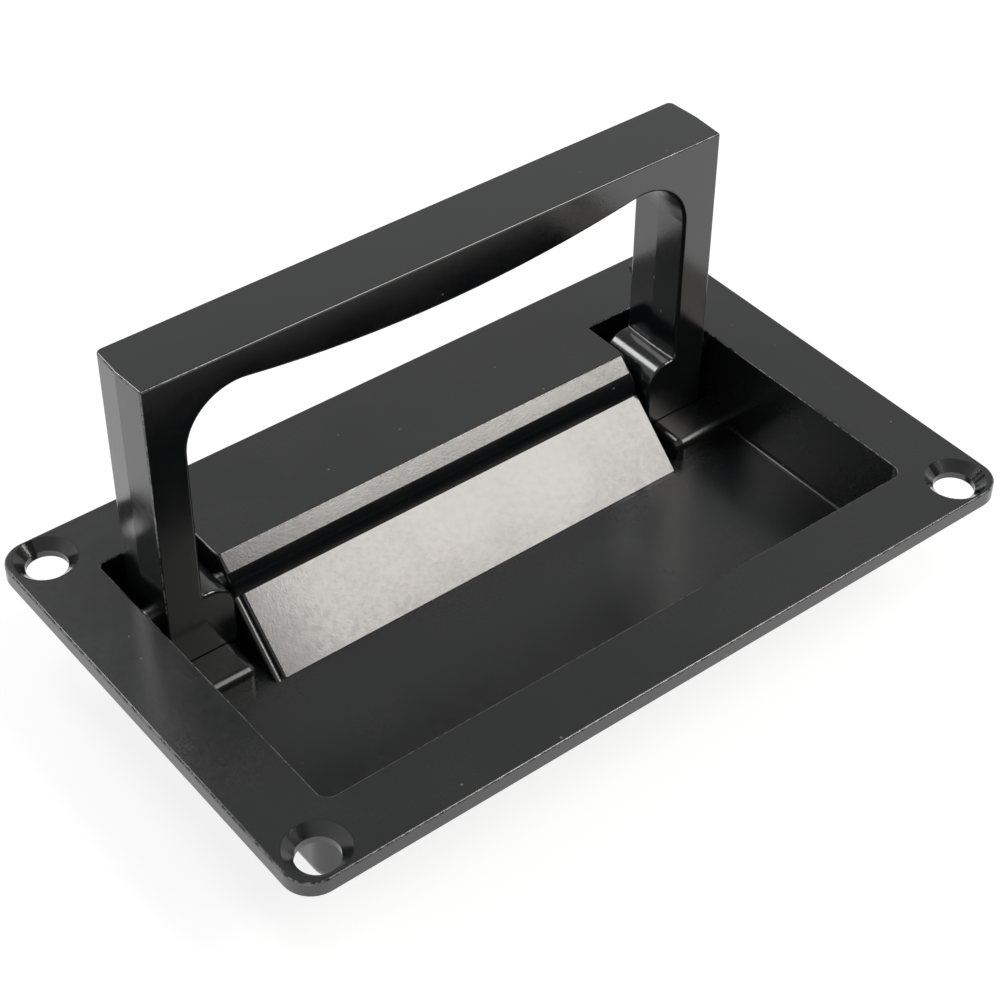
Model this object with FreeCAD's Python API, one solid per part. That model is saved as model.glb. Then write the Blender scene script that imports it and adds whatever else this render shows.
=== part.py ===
import FreeCAD, Part
import math
import os

# Recessed pull handle: a screwed flange with a pan behind it, and a bail that folds into the pan.
# Millimetres. X runs along the handle, -Y is the front, +Z points out of the mounted face.
# z = 0 is the underside of the flange, where it seats on the panel; x = y = 0 is its centre.

V = FreeCAD.Vector

# Flange
flange_border_x = 12.9
flange_border_y = 12.8
flange_thickness = 3.0
flange_corner_r = 5.2
flange_edge_r = 0.4
hole_inset_x = 6.75
hole_inset_y = 5.9
screw_hole_d = 7.4
countersink_d = 10.9
countersink_half_angle = 45.0

# Recess
notch_length = 16.9
opening_width = 66.0
recess_depth = 18.0
opening_front_r = 2.2
opening_rear_r = 0.9
recess_foot_r = 0.7
opening_edge_r = 0.3
pan_wall = 1.5
pan_floor = 1.5
pan_corner_r = 3.8
pan_bottom_r = 3.4

# Hinge block under the tongue
block_length = 90.4
tongue_reach = 10.25
tongue_thickness = 2.4
nose_run = 4.2
nose_flat_run = 2.5
nose_flat_drop = 2.6
nose_foot_drop = 0.2
block_end_r = 0.75
slope_run = 11.8
rib_count = 2
rib_thickness = 2.0

# Facing plate on the slope of the block
facing_thickness = 0.8
facing_rim = 1.3
facing_rim_r = 0.35
facing_left_r = 0.7
facing_right_r = 0.15

# Handle
handle_depth = 13.4
leg_width = 7.35
grip_end_height = 6.2
grip_belly = 3.5
window_corner_r = 10.0
window_root_r = 0.4
window_facet = 0.2
side_facet = 0.4
foot_length = 8.1
foot_front_r = 1.5
foot_rear_r = 2.5
knuckle_flat = 0.9
knuckle_drop = 0.6
handle_top_edge_r = 0.35
handle_front_corner_r = 0.35
handle_back_corner_r = 1.2
window_edge_r = 0.6

# Pivot pins
pin_d = 4.0
pin_head_d = 7.0
pin_head_height = 0.8
pin_tip_length = 0.6
pin_chamfer = 0.3

# Stop pads
pad_length = 7.9
pad_inner_gap = 2.0
pad_edge_r = 1.8

# Clearances
end_gap = 2.85
front_gap = 2.97
rear_gap = 3.33
block_gap = 0.8
fold_sink = 0.1
open_stop_gap = 0.15
shut_stop_gap = 0.15
pin_fit = 0.02
pivot_fit = 0.06
head_fit = 0.1
facing_floor_gap = 0.1
facing_left_gap = 0.3

# Places worked out from the values above
flange_top = flange_thickness
recess_z = flange_top - recess_depth
pan_bottom_z = recess_z - pan_floor
block_x = block_length / 2
opening_x = block_x + notch_length
opening_y = opening_width / 2
pan_x = opening_x + pan_wall
pan_y = opening_y + pan_wall
flange_x = opening_x + flange_border_x
flange_y = opening_y + flange_border_y
hole_x = flange_x - hole_inset_x
hole_y = flange_y - hole_inset_y
handle_x = opening_x - end_gap
leg_x = handle_x - leg_width
knuckle_x = block_x + block_gap
knuckle_r = leg_x - knuckle_x - knuckle_flat
handle_half = handle_depth / 2
pivot_y = opening_y - rear_gap - handle_half
pivot_z = flange_top - fold_sink - handle_half
handle_front = pivot_y - handle_half
handle_back = pivot_y + handle_half
handle_top = pivot_z + pivot_y + opening_y - front_gap
foot_z = pivot_z - foot_length
knuckle_z = flange_top - knuckle_drop
parting_y = (handle_front + handle_back) / 2
pad_rear = handle_front - open_stop_gap
pad_front = pad_rear - pad_length
pad_top = pivot_z - handle_half - shut_stop_gap
pad_x = block_x + pad_inner_gap
tongue_front = opening_y - tongue_reach
nose_foot = tongue_front - nose_run
nose_turn = math.pi / 2 - math.atan2(nose_flat_drop, nose_flat_run)
nose_r = (nose_run - nose_flat_run) / (1 - math.cos(nose_turn))
nose_centre_z = flange_top - nose_flat_drop - nose_r * math.sin(nose_turn)
slope_top_z = nose_centre_z - nose_foot_drop
bed_left = facing_rim - block_x


def box(x0, x1, y0, y1, z0, z1):
    return Part.makeBox(x1 - x0, y1 - y0, z1 - z0, V(x0, y0, z0))


def along_x(x0, x1, points):
    # Straight-sided outline in the YZ plane, pushed along X.
    corners = [V(x0, y, z) for y, z in points]
    face = Part.Face(Part.makePolygon(corners + corners[:1]))
    return face.extrude(V(x1 - x0, 0, 0))


def rod(x0, x1, diameter):
    return Part.makeCylinder(diameter / 2, abs(x1 - x0), V(x0, pivot_y, pivot_z), V(x1 - x0, 0, 0))


def mirrored(shape):
    return shape.mirror(V(0, 0, 0), V(1, 0, 0))


def edges_where(shape, test):
    # Edges whose two ends and middle all pass the test.
    found = []
    for edge in shape.Edges:
        first, last = edge.ParameterRange
        spots = [edge.valueAt(first), edge.valueAt((first + last) / 2), edge.valueAt(last)]
        if all(test(spot) for spot in spots):
            found.append(edge)
    return found


def upright_edges(shape, front):
    # Edges that run along Z, on the front or the rear side.
    found = []
    for edge in shape.Edges:
        a = edge.Vertexes[0].Point
        b = edge.Vertexes[-1].Point
        upright = abs(a.x - b.x) < 1e-6 and abs(a.y - b.y) < 1e-6 and abs(a.z - b.z) > 1.0
        if upright and (a.y < 0) == front:
            found.append(edge)
    return found


def near(a, b):
    return abs(a - b) < 1e-4


# Tray

def flange():
    sheet = box(-flange_x, flange_x, -flange_y, flange_y, 0, flange_top)
    corners = upright_edges(sheet, True) + upright_edges(sheet, False)
    return sheet.makeFillet(flange_corner_r, corners)


def screw_hole(x, y):
    sink_depth = (countersink_d - screw_hole_d) / 2 / math.tan(math.radians(countersink_half_angle))
    bore = Part.makeCylinder(screw_hole_d / 2, flange_thickness, V(x, y, 0))
    slope_z = flange_top - sink_depth
    sink = Part.makeCone(screw_hole_d / 2, countersink_d / 2, sink_depth, V(x, y, slope_z))
    return bore.fuse(sink)


def pan_body():
    body = box(-pan_x, pan_x, -pan_y, pan_y, pan_bottom_z, flange_top)
    body = body.makeFillet(pan_corner_r, upright_edges(body, True) + upright_edges(body, False))
    return body.makeFillet(pan_bottom_r, edges_where(body, lambda p: near(p.z, pan_bottom_z)))


def nose_round():
    # Start, middle and end of the arc that turns the tongue's chamfer into its upright front.
    points = []
    for angle in (nose_turn, nose_turn / 2, 0):
        points.append((nose_foot + nose_r * (1 - math.cos(angle)), nose_centre_z + nose_r * math.sin(angle)))
    return points


def slope_line(offset):
    # Top and floor ends of a line parallel to the slope, set back into the block by the offset.
    rise = slope_top_z - recess_z
    length = math.hypot(slope_run, rise)
    back_y = offset * rise / length
    back_z = -offset * slope_run / length
    top = (nose_foot + back_y, slope_top_z + back_z)
    floor_y = nose_foot - slope_run + offset * length / rise
    return top, (floor_y, recess_z)


def block():
    # The plate's bed is sunk into the slope. A rim closes its left end, and its right end is open.
    face_top, face_foot = slope_line(0)
    bed_top, bed_foot = slope_line(facing_thickness)
    start, middle, end = nose_round()
    rear = opening_y + pan_wall / 2
    low = recess_z - pan_floor / 2
    before = [(rear, flange_top), (tongue_front, flange_top), start]
    after = [end, face_top, face_foot, (face_foot[0], low), (rear, low), (rear, flange_top)]
    arc = Part.Arc(in_side(start), in_side(middle), in_side(end)).toShape()
    outline = Part.Wire(side_lines(before) + [arc] + side_lines(after))
    body = Part.Face(outline).extrude(V(block_length, 0, 0))
    body = body.makeFillet(block_end_r, edges_where(body, on_block_end))
    body = body.cut(along_x(bed_left, block_x, [face_top, bed_top, bed_foot, face_foot]))
    return body.makeFillet(facing_rim_r, edges_where(body, lambda p: near(p.x, bed_left) and on_slope(p)))


def on_slope(point):
    run = slope_run / (slope_top_z - recess_z)
    return near(point.y, nose_foot - run * (slope_top_z - point.z))


def on_block_end(point):
    # The nose and the slope seen from the side, without the flat top and the part below the floor.
    on_face = near(point.y, nose_foot) or on_slope(point) or point.z > nose_centre_z
    reach = nose_foot - slope_run - 1e-4 < point.y < tongue_front + 1e-4
    return near(abs(point.x), block_x) and on_face and reach


def in_side(point):
    # A point of the block's outline, on its left side.
    return V(-block_x, point[0], point[1])


def side_lines(points):
    return [Part.makeLine(in_side(a), in_side(b)) for a, b in zip(points, points[1:])]


def recess():
    hollow = box(-opening_x, opening_x, -opening_y, opening_y, recess_z, flange_top)
    hollow = hollow.makeFillet(opening_front_r, upright_edges(hollow, True))
    hollow = hollow.makeFillet(opening_rear_r, upright_edges(hollow, False))
    return hollow.makeFillet(recess_foot_r, edges_where(hollow, lambda p: near(p.z, recess_z)))


def block_hollow():
    # The block is open below and behind, with ribs left between its bays.
    top, foot = slope_line(facing_thickness + pan_wall)
    run = (foot[0] - top[0]) / (foot[1] - top[1])
    low = pan_bottom_z - 1.0
    low_y = foot[0] + run * (low - foot[1])
    flat_slope = nose_flat_run / nose_flat_drop
    nose_back = tongue_front - tongue_thickness * flat_slope + pan_wall * math.hypot(1, flat_slope)
    nose_back_z = top[1] + (nose_back - top[0]) / run
    rear = pan_y + 1.0
    ceiling = flange_top - tongue_thickness
    points = [(rear, ceiling), (nose_back, ceiling), (nose_back, nose_back_z), (low_y, low), (rear, low)]
    inside = block_x - pan_wall
    hollow = along_x(-inside, inside, points)
    for i in range(rib_count):
        x = -inside + 2 * inside * (i + 1) / (rib_count + 1)
        rib = box(x - rib_thickness / 2, x + rib_thickness / 2, 0, rear, low, flange_top)
        hollow = hollow.cut(rib)
    return hollow


def pad():
    # One pad stops both ends of the travel: its rear face when raised, its top when folded.
    body = box(pad_x, opening_x + pan_wall / 2, pad_front, pad_rear, recess_z - pan_floor / 2, pad_top)
    front = edges_where(body, lambda p: near(p.z, pad_top) and near(p.y, pad_front))
    inner = edges_where(body, lambda p: near(p.z, pad_top) and near(p.x, pad_x))
    corner = edges_where(body, lambda p: near(p.x, pad_x) and near(p.y, pad_front))
    return body.makeFillet(pad_edge_r, front + inner + corner)


def pin_bore():
    bore_d = pin_d + 2 * pin_fit
    bore = rod(block_x - pan_wall - 1.0, block_x + 0.5, bore_d).fuse(rod(opening_x - 0.5, pan_x + 1.0, bore_d))
    head = rod(pan_x - pin_head_height, pan_x + 1.0, pin_head_d + 2 * head_fit)
    return bore.fuse(head)


def tray():
    body = flange().fuse(pan_body())
    body = body.cut(recess().cut(block()))
    for shape in (pad(), mirrored(pad())):
        body = body.fuse(shape)
    body = body.cut(block_hollow())
    for shape in (pin_bore(), mirrored(pin_bore())):
        body = body.cut(shape)
    for x in (-hole_x, hole_x):
        for y in (-hole_y, hole_y):
            body = body.cut(screw_hole(x, y))
    body = body.removeSplitter()
    rim = edges_where(body, lambda p: near(p.z, flange_top) and outside_holes(p))
    body = body.makeFillet(flange_edge_r, [edge for edge in rim if on_outline(edge)])
    rim = edges_where(body, lambda p: near(p.z, flange_top) and outside_holes(p))
    return body.makeFillet(opening_edge_r, [edge for edge in rim if not on_outline(edge)])


def outside_holes(point):
    dx = abs(point.x) - hole_x
    dy = abs(point.y) - hole_y
    return math.hypot(dx, dy) > countersink_d / 2 + 0.2


def on_outline(edge):
    middle = edge.valueAt(sum(edge.ParameterRange) / 2)
    return abs(middle.x) > flange_x - flange_corner_r or abs(middle.y) > flange_y - flange_corner_r


# Facing plate

def slope_plate():
    top, foot = slope_line(0)
    back_top, back_foot = slope_line(facing_thickness)
    run = slope_run / (slope_top_z - recess_z)
    bottom = recess_z + facing_floor_gap
    low = (foot[0] + run * facing_floor_gap, bottom)
    back_low = (back_foot[0] + run * facing_floor_gap, bottom)
    left = bed_left + facing_left_gap
    plate = along_x(left, block_x, [top, low, back_low, back_top])
    plate = plate.makeFillet(facing_left_r, edges_where(plate, lambda p: near(p.x, left) and on_slope(p)))
    return plate.makeFillet(facing_right_r, edges_where(plate, lambda p: near(p.x, block_x) and on_slope(p)))


# Handle

def handle_outline():
    # The whole silhouette, widest at the parting line, with its outer edges rounded.
    widest = handle_x + side_facet
    right = [(handle_x, handle_front), (widest, parting_y), (handle_x, handle_back)]
    left = [(-x, y) for x, y in reversed(right)]
    corners = [V(x, y, foot_z) for x, y in right + left]
    plan = Part.Face(Part.makePolygon(corners + corners[:1]))
    body = plan.extrude(V(0, 0, handle_top - foot_z))
    body = body.makeFillet(handle_back_corner_r, side_edges(body, handle_back))
    body = body.makeFillet(handle_front_corner_r, side_edges(body, handle_front))
    body = body.makeFillet(handle_top_edge_r, edges_where(body, lambda p: near(p.z, handle_top)))
    return body.common(foot_shape())


def side_edges(body, y):
    # Edges that run down both sides, on the front or the back face.
    return edges_where(body, lambda p: near(p.y, y) and near(abs(p.x), handle_x))


def foot_shape():
    # Outline seen from the side, with the foot's two rounded lower corners.
    reach = handle_x + side_facet
    body = box(-reach, reach, handle_front, handle_back, foot_z, handle_top)
    low_front = edges_where(body, lambda p: near(p.z, foot_z) and near(p.y, handle_front))
    body = body.makeFillet(foot_front_r, low_front)
    low_rear = edges_where(body, lambda p: near(p.z, foot_z) and near(p.y, handle_back))
    return body.makeFillet(foot_rear_r, low_rear)


def window_wire(y, grow):
    # The window's outline in the plane y, grown outwards by the given amount.
    corner_x = leg_x - window_corner_r
    corner_z = handle_top - grip_end_height - window_corner_r
    corner_r = window_corner_r + grow
    belly_z = handle_top - grip_end_height - grip_belly + grow
    rise = belly_z - corner_z
    belly_r = (corner_x ** 2 + rise ** 2 - corner_r ** 2) / (2 * (corner_r - rise))
    reach = math.hypot(corner_x, belly_z + belly_r - corner_z)
    join_x = corner_x - corner_r * corner_x / reach
    join_z = corner_z + corner_r * (belly_z + belly_r - corner_z) / reach
    middle = (math.pi / 2 + math.asin(corner_x / reach)) / 2
    mid_x = corner_x + corner_r * math.cos(middle)
    mid_z = corner_z + corner_r * math.sin(middle)
    side_x = corner_x + corner_r
    root_x = side_x - window_root_r
    root_z = knuckle_z + window_root_r
    bend = window_root_r * math.sqrt(0.5)
    edges = [Part.Arc(V(-root_x, y, knuckle_z), V(-root_x - bend, y, root_z - bend),
                      V(-side_x, y, root_z)).toShape(),
             Part.makeLine(V(-side_x, y, root_z), V(-side_x, y, corner_z)),
             Part.Arc(V(-side_x, y, corner_z), V(-mid_x, y, mid_z), V(-join_x, y, join_z)).toShape(),
             Part.Arc(V(-join_x, y, join_z), V(0, y, belly_z), V(join_x, y, join_z)).toShape(),
             Part.Arc(V(join_x, y, join_z), V(mid_x, y, mid_z), V(side_x, y, corner_z)).toShape(),
             Part.makeLine(V(side_x, y, corner_z), V(side_x, y, root_z)),
             Part.Arc(V(side_x, y, root_z), V(root_x + bend, y, root_z - bend),
                      V(root_x, y, knuckle_z)).toShape(),
             Part.makeLine(V(root_x, y, knuckle_z), V(-root_x, y, knuckle_z))]
    return Part.Wire(edges)


def window():
    # Widest at both faces and narrowest at the parting line between them.
    front = Part.makeLoft([window_wire(handle_front, window_facet), window_wire(parting_y, 0)], True, True)
    rear = Part.makeLoft([window_wire(parting_y, 0), window_wire(handle_back, window_facet)], True, True)
    return front.fuse(rear)


def knuckle_gap():
    # Space between the two knuckles, whose inner top edges are quarter rounds.
    round_x = knuckle_x + knuckle_r
    round_z = knuckle_z - knuckle_r
    bend = knuckle_r * math.sqrt(0.5)
    y = handle_front
    low = foot_z - 1.0
    edges = [Part.makeLine(V(-knuckle_x, y, low), V(-knuckle_x, y, round_z)),
             Part.Arc(V(-knuckle_x, y, round_z), V(bend - round_x, y, round_z + bend),
                      V(-round_x, y, knuckle_z)).toShape(),
             Part.makeLine(V(-round_x, y, knuckle_z), V(round_x, y, knuckle_z)),
             Part.Arc(V(round_x, y, knuckle_z), V(round_x - bend, y, round_z + bend),
                      V(knuckle_x, y, round_z)).toShape(),
             Part.makeLine(V(knuckle_x, y, round_z), V(knuckle_x, y, low)),
             Part.makeLine(V(knuckle_x, y, low), V(-knuckle_x, y, low))]
    return Part.Face(Part.Wire(edges)).extrude(V(0, handle_depth, 0))


def handle():
    body = handle_outline().cut(window()).cut(knuckle_gap())
    body = body.makeFillet(window_edge_r, [edge for edge in body.Edges if window_rim(edge)])
    body = body.cut(rod(-handle_x - 1.0, handle_x + 1.0, pin_d + 2 * pivot_fit))
    return body.removeSplitter()


def window_rim(edge):
    # Edges on both faces that bound the window and the space between the knuckles.
    middle = edge.valueAt(sum(edge.ParameterRange) / 2)
    on_face = near(middle.y, handle_front) or near(middle.y, handle_back)
    inside = abs(middle.x) < handle_x - leg_width / 2 and middle.z < handle_top - grip_end_height / 2
    return on_face and inside and middle.z > pivot_z


# Pins

def pivot_pin():
    # Pushed in from outside the pan, through the foot, into the side of the block.
    under_head = pan_x - pin_head_height
    tip = block_x - pan_wall - pin_tip_length
    shank = rod(tip, under_head, pin_d)
    shank = shank.makeChamfer(pin_chamfer, edges_where(shank, lambda p: near(p.x, tip)))
    return shank.fuse(rod(under_head, pan_x, pin_head_d)).removeSplitter()


parts = {
    "tray": tray(),
    "slope_plate": slope_plate(),
    "handle": handle(),
    "pivot_pin_right": pivot_pin(),
    "pivot_pin_left": mirrored(pivot_pin()),
}

os.makedirs("parts", exist_ok=True)
for name, shape in parts.items():
    shape.exportStep("parts/" + name + ".step")
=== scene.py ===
import math

import bpy
from mathutils import Matrix, Vector


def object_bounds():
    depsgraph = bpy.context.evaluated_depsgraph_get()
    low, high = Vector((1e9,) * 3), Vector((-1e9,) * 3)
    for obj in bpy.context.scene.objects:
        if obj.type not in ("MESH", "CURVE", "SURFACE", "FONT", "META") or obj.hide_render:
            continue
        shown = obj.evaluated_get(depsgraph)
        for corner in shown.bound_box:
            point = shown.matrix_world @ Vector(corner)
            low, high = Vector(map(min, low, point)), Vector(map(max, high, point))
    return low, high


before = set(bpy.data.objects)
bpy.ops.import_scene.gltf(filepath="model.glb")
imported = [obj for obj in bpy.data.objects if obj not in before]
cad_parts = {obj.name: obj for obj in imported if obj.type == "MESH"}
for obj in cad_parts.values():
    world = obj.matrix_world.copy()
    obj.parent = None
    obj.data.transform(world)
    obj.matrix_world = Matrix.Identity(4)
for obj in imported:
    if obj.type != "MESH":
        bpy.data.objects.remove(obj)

cad_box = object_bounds()
scene = bpy.context.scene

# Places on the object, in metres. The pan stands on the floor.
FLOOR_Z = cad_box[0][2]
SLOPE_CENTRE = Vector((0.0, 0.0125, -0.0065))
SLOPE_FOOT_Y = 0.0060
RIDGE_BACK_Y = 0.0226
BLOCK_X = 0.0452
HOLE_X = 0.06825
HOLE_Y = 0.0399
HOLE_ZONE_R = 0.0057
HANDLE_SIDE_X = 0.0580
HANDLE_TOP_Z = 0.0475
ABOVE_TRAY_Z = 0.0038
ABOVE_RECESS_Z = 0.0024

# Camera, in metres and degrees. Azimuth 0 looks along +Y.
CAMERA_POS = Vector((-0.186633, -0.230194, 0.269347))
CAMERA_AZIMUTH = -38.6995
CAMERA_ELEVATION = 41.5350
CAMERA_ROLL = 0.6417
CAMERA_LENS_MM = 83.2563
SENSOR_MM = 36.0

# Surfaces
COAT_BASE = 0.009
COAT_IOR = 1.8
RUBBED_ROUGHNESS = 0.15
PEEL_STRENGTH = 0.35
PEEL_DEPTH = 0.00002
# Pale colour of the rounded edges: partly edge wear, partly a painted highlight.
EDGE_WEAR_AND_HIGHLIGHT_LEVEL = 0.30
DUST_LEVEL = 0.16

# Studio
FLOOR_REACH = 4.0
FLOOR_GLOW = 0.82
WHITE = (1.0, 1.0, 1.0)
COOL_WHITE = (1.0, 1.0, 0.98)
WARM_WHITE = (1.0, 0.95, 0.89)
FLAG_HALF = 2.0
FLAG_HEIGHT = 0.85
FLAG_Y = -1.1
WORLD_RIGHT = (1.0, 0.0, 0.0)


def spin(degrees, axis):
    return Matrix.Rotation(math.radians(degrees), 4, axis)


def make_camera():
    data = bpy.data.cameras.new("camera")
    data.lens = CAMERA_LENS_MM
    data.sensor_width = SENSOR_MM
    data.clip_start = 0.01
    data.clip_end = 20.0
    camera = bpy.data.objects.new("camera", data)
    scene.collection.objects.link(camera)
    turn = spin(CAMERA_AZIMUTH, "Z") @ spin(90.0 - CAMERA_ELEVATION, "X") @ spin(CAMERA_ROLL, "Z")
    camera.matrix_world = Matrix.Translation(CAMERA_POS) @ turn
    scene.camera = camera


# Node helpers

def new_material(name):
    material = bpy.data.materials.new(name)
    material.use_nodes = True
    material.node_tree.nodes.clear()
    return material


class Tree:
    """Small wrapper that adds nodes and links them in one call."""

    def __init__(self, tree):
        self.nodes = tree.nodes
        self.links = tree.links

    def add(self, kind, inputs=None, **settings):
        node = self.nodes.new(kind)
        for key, value in settings.items():
            setattr(node, key, value)
        for key, value in (inputs or {}).items():
            self.put(node.inputs[key], value)
        return node

    def put(self, socket, value):
        if isinstance(value, bpy.types.NodeSocket):
            self.links.new(value, socket)
        else:
            socket.default_value = value

    def math(self, operation, a, b=0.0):
        return self.add("ShaderNodeMath", {0: a, 1: b}, operation=operation).outputs[0]

    def either(self, *zones):
        total = zones[0]
        for zone in zones[1:]:
            total = self.math("MAXIMUM", total, zone)
        return total

    def both(self, *zones):
        total = zones[0]
        for zone in zones[1:]:
            total = self.math("MULTIPLY", total, zone)
        return total

    def ramp(self, value, low, high, to_low=0.0, to_high=1.0):
        node = self.add("ShaderNodeMapRange", {"Value": value, "From Min": low, "From Max": high,
                                               "To Min": to_low, "To Max": to_high})
        node.interpolation_type = "SMOOTHSTEP"
        return node.outputs["Result"]

    def split(self, vector):
        return self.add("ShaderNodeSeparateXYZ", {0: vector}).outputs

    def mix_colour(self, factor, a, b):
        # Sockets 0, 6, 7 and output 2 are the factor, the two colours and the mixed colour.
        node = self.add("ShaderNodeMix", data_type="RGBA")
        self.put(node.inputs[0], factor)
        self.put(node.inputs[6], a)
        self.put(node.inputs[7], b)
        return node.outputs[2]

    def noise(self, place, scale, detail=2.0, roughness=0.5):
        node = self.add("ShaderNodeTexNoise", {"Vector": place, "Scale": scale, "Detail": detail,
                                               "Roughness": roughness})
        return node.outputs["Fac"]

    def finish(self, shader):
        out = self.add("ShaderNodeOutputMaterial")
        self.links.new(shader.outputs[0], out.inputs[0])


def rgb(level, warm=0.0):
    return (level * (1 + warm), level, level * (1 - warm), 1.0)


# Black coat

def within(t, value, low, high, soft):
    # One between the two limits and zero outside them, with a soft edge.
    rise = t.ramp(value, low - soft, low + soft)
    fall = t.ramp(value, high - soft, high + soft, 1.0, 0.0)
    return t.both(rise, fall)


def block_zone(t, place):
    # The ridge and the slope between the notches, which hands have rubbed smoother.
    x, y, _ = t.split(place)
    return t.both(within(t, x, -BLOCK_X, BLOCK_X, 0.0002), within(t, y, SLOPE_FOOT_Y, RIDGE_BACK_Y, 0.0001))


def hole_zone(t, place):
    # The countersinks and a little of the flange round them.
    x, y, _ = t.split(place)
    off_x = t.math("SUBTRACT", t.math("ABSOLUTE", x), HOLE_X)
    off_y = t.math("SUBTRACT", t.math("ABSOLUTE", y), HOLE_Y)
    away = t.math("SQRT", t.math("ADD", t.both(off_x, off_x), t.both(off_y, off_y)))
    return t.ramp(away, HOLE_ZONE_R - 0.0001, HOLE_ZONE_R + 0.0001, 1.0, 0.0)


def edge_wear_and_highlight_zone(t, coordinates):
    # Rounded outer edges above the recess, where the normal leans between two faces. Their pale colour is
    # partly edge wear and partly a painted highlight.
    x, _, z = t.split(coordinates.outputs["Object"])
    leans = t.either(*[within(t, t.math("ABSOLUTE", part), 0.45, 0.88, 0.03)
                       for part in t.split(coordinates.outputs["Normal"])])
    # On the handle the pale edges run along its top and its outer sides, not around its window; they are
    # partly wear and partly a painted highlight.
    side = t.ramp(t.math("ABSOLUTE", x), HANDLE_SIDE_X, HANDLE_SIDE_X + 0.0005)
    top = t.ramp(z, HANDLE_TOP_Z, HANDLE_TOP_Z + 0.0005)
    tray = t.ramp(z, ABOVE_TRAY_Z, ABOVE_TRAY_Z + 0.0002, 1.0, 0.0)
    above_recess = t.ramp(z, ABOVE_RECESS_Z, ABOVE_RECESS_Z + 0.0002)
    return t.both(leans, t.either(side, top, tray), above_recess)


def coat_colour(t, coordinates, cloud, rubbed):
    # Black with faint clouds, pale on the rounded edges (partly wear, partly a painted highlight), and
    # specks of dust.
    place = coordinates.outputs["Object"]
    darker = rgb(COAT_BASE * 0.85, -0.14)
    lighter = rgb(COAT_BASE * 1.15, -0.10)
    colour = t.mix_colour(t.ramp(cloud, 0.3, 0.7), darker, lighter)
    edges = t.both(edge_wear_and_highlight_zone(t, coordinates), t.math("SUBTRACT", 1.0, rubbed))
    # Pale broken lines on the edges: partly edge wear, partly a painted highlight of the lit edges.
    wear_and_highlight = t.both(edges, t.ramp(t.noise(place, 700.0, 4.0, 0.7), 0.42, 0.58))
    colour = t.mix_colour(wear_and_highlight, colour, rgb(EDGE_WEAR_AND_HIGHLIGHT_LEVEL, 0.02))
    dust = t.ramp(t.noise(place, 800.0, 0.0), 0.885, 0.90)
    return t.mix_colour(dust, colour, rgb(DUST_LEVEL, 0.05))


def coat(name, roughness):
    material = new_material(name)
    t = Tree(material.node_tree)
    coordinates = t.add("ShaderNodeTexCoord")
    place = coordinates.outputs["Object"]
    cloud = t.noise(place, 60.0, 3.0)
    grain = t.noise(place, 900.0, 2.0)
    peel = t.noise(place, 2400.0, 2.0, 0.65)
    rubbed = t.either(block_zone(t, place), hole_zone(t, place))
    level = t.math("ADD", roughness, t.math("MULTIPLY", rubbed, RUBBED_ROUGHNESS - roughness))
    uneven = t.math("ADD", t.ramp(grain, 0.25, 0.75, -0.02, 0.02), t.ramp(cloud, 0.3, 0.7, -0.02, 0.02))
    bump = t.add("ShaderNodeBump", {"Strength": PEEL_STRENGTH, "Distance": PEEL_DEPTH, "Height": peel})
    t.finish(t.add("ShaderNodeBsdfPrincipled", {
        "Base Color": coat_colour(t, coordinates, cloud, rubbed), "Roughness": t.math("ADD", level, uneven),
        "IOR": COAT_IOR, "Normal": bump.outputs[0]}))
    return material


def pin_steel():
    material = new_material("pin_steel")
    t = Tree(material.node_tree)
    place = t.add("ShaderNodeTexCoord").outputs["Object"]
    turned = t.noise(place, 2500.0, 2.0)
    stain = t.noise(place, 300.0, 3.0)
    colour = t.mix_colour(stain, rgb(0.42), rgb(0.56, 0.02))
    rough = t.ramp(turned, 0.2, 0.8, 0.28, 0.42)
    t.finish(t.add("ShaderNodeBsdfPrincipled", {"Base Color": colour, "Roughness": rough, "Metallic": 1.0}))
    return material


def give(node, material):
    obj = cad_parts[node]
    for slot in obj.material_slots:
        slot.material = material


# Studio

def sheet(name, corners, material):
    # A flat four-cornered sheet that belongs to the studio, not to the part.
    mesh = bpy.data.meshes.new(name)
    mesh.from_pydata(corners, [], [(0, 1, 2, 3)])
    mesh.materials.append(material)
    obj = bpy.data.objects.new(name, mesh)
    scene.collection.objects.link(obj)
    return obj


def make_floor():
    # Pale and matt. It glows only where the camera, a reflection or a clear material looks at it.
    material = new_material("floor")
    t = Tree(material.node_tree)
    path = t.add("ShaderNodeLightPath")
    rays = ("Is Camera Ray", "Is Glossy Ray", "Is Transmission Ray")
    seen = t.either(*[path.outputs[ray] for ray in rays])
    place = t.add("ShaderNodeTexCoord").outputs["Object"]
    tone = t.mix_colour(t.noise(place, 3.0), rgb(0.34), rgb(0.36))
    matt = t.add("ShaderNodeBsdfDiffuse", {"Color": tone})
    strength = t.math("MULTIPLY", seen, FLOOR_GLOW)
    glow = t.add("ShaderNodeEmission", {"Color": rgb(1.0), "Strength": strength})
    t.finish(t.add("ShaderNodeAddShader", {0: matt.outputs[0], 1: glow.outputs[0]}))
    r = FLOOR_REACH
    sheet("floor", [(-r, -r, FLOOR_Z), (r, -r, FLOOR_Z), (r, r, FLOOR_Z), (-r, r, FLOOR_Z)], material)


def make_flag():
    # A black card that keeps the low front of the room dark in the reflections.
    material = new_material("flag_cloth")
    t = Tree(material.node_tree)
    weave = t.noise(t.add("ShaderNodeTexCoord").outputs["Object"], 200.0)
    t.finish(t.add("ShaderNodeBsdfDiffuse", {"Color": t.mix_colour(weave, rgb(0.01), rgb(0.015))}))
    low = [(-FLAG_HALF, FLAG_Y, FLOOR_Z), (FLAG_HALF, FLAG_Y, FLOOR_Z)]
    high = [(FLAG_HALF, FLAG_Y, FLAG_HEIGHT), (-FLAG_HALF, FLAG_Y, FLAG_HEIGHT)]
    flag = sheet("front_flag", low + high, material)
    flag.visible_camera = False


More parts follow.
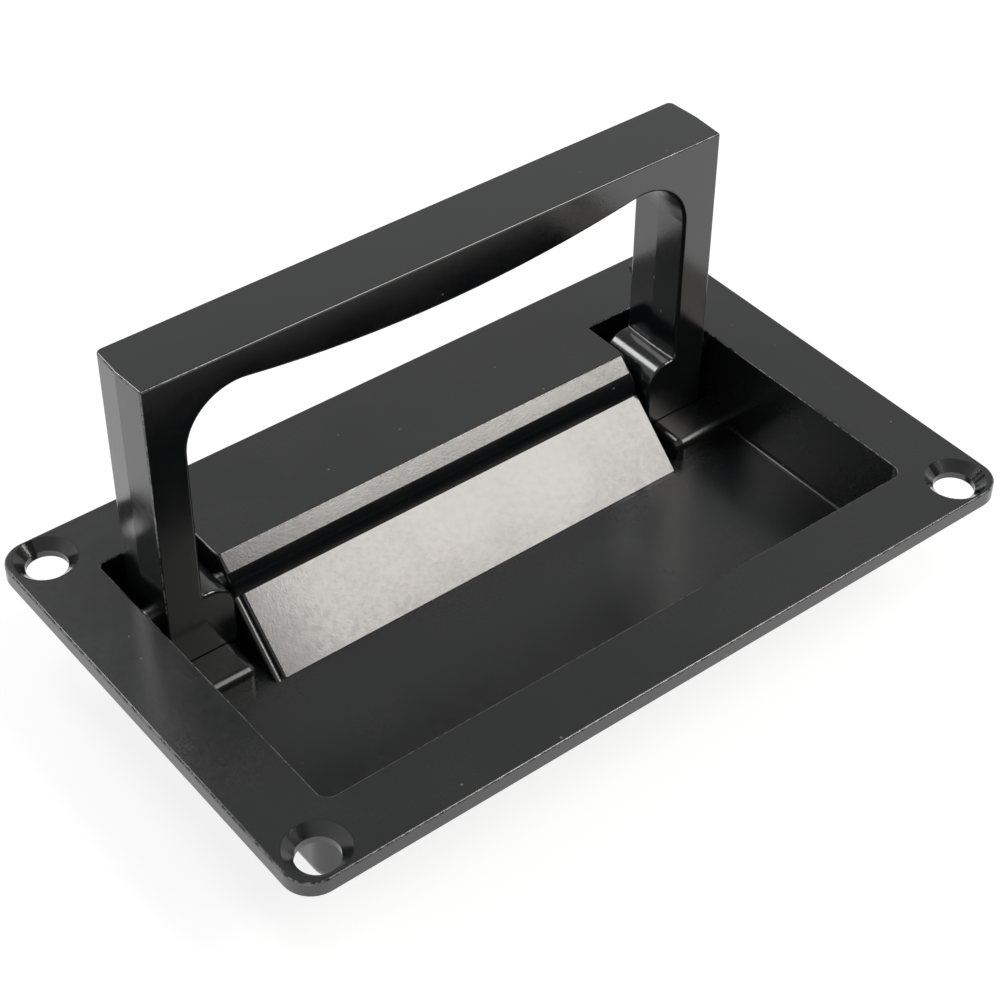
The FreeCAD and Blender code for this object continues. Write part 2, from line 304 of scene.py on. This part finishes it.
def softbox(name, direction, distance, size, roll, power, left_share=1.0, left=WHITE, right=WHITE):
    # A rectangular lamp aimed at the slope, whose left side may be dimmer than its right.
    data = bpy.data.lights.new(name, "AREA")
    data.shape = "RECTANGLE"
    data.size, data.size_y = size
    data.energy = power
    data.use_nodes = True
    t = Tree(data.node_tree)
    across = t.math("SUBTRACT", 1.0, t.split(t.add("ShaderNodeNewGeometry").outputs["Parametric"])[1])
    emission = t.nodes["Emission"]
    t.put(emission.inputs["Strength"], t.ramp(across, 0.0, 1.0, left_share, 1.0))
    t.put(emission.inputs["Color"], t.mix_colour(across, (*left, 1.0), (*right, 1.0)))
    light = bpy.data.objects.new(name, data)
    scene.collection.objects.link(light)
    aim = Vector(direction).normalized()
    up = aim.cross(Vector(WORLD_RIGHT)).normalized()
    side = up.cross(aim).normalized()
    turn = Matrix((side, up, aim)).transposed().to_4x4() @ spin(roll, "Z")
    light.matrix_world = Matrix.Translation(SLOPE_CENTRE + aim * distance) @ turn
    light.visible_camera = False


def make_world():
    # White, and brighter near the horizon than overhead.
    world = bpy.data.worlds.new("studio")
    world.use_nodes = True
    t = Tree(world.node_tree)
    height = t.split(t.add("ShaderNodeNewGeometry").outputs["Position"])[2]
    background = t.nodes["Background"]
    t.put(background.inputs["Color"], rgb(1.0))
    t.put(background.inputs["Strength"], t.ramp(height, 0.45, 0.85, 0.62, 0.25))
    scene.world = world


make_camera()
make_world()
make_floor()
make_flag()
softbox("front_softbox", direction=(0.4560, -0.4078, 0.7611), distance=0.977, size=(0.345, 0.646),
        roll=7.4, power=5.6, left_share=0.50, left=COOL_WHITE, right=WARM_WHITE)
softbox("rear_softbox", direction=(-0.250, 0.595, 0.760), distance=0.345, size=(0.10, 0.09),
        roll=0.0, power=0.22)

give("tray", coat("tray_coat", 0.25))
give("handle", coat("handle_coat", 0.17))
give("slope_plate", coat("plate_coat", 0.15))
for pin in ("pivot_pin_left", "pivot_pin_right"):
    give(pin, pin_steel())

scene.view_settings.view_transform = "Standard"
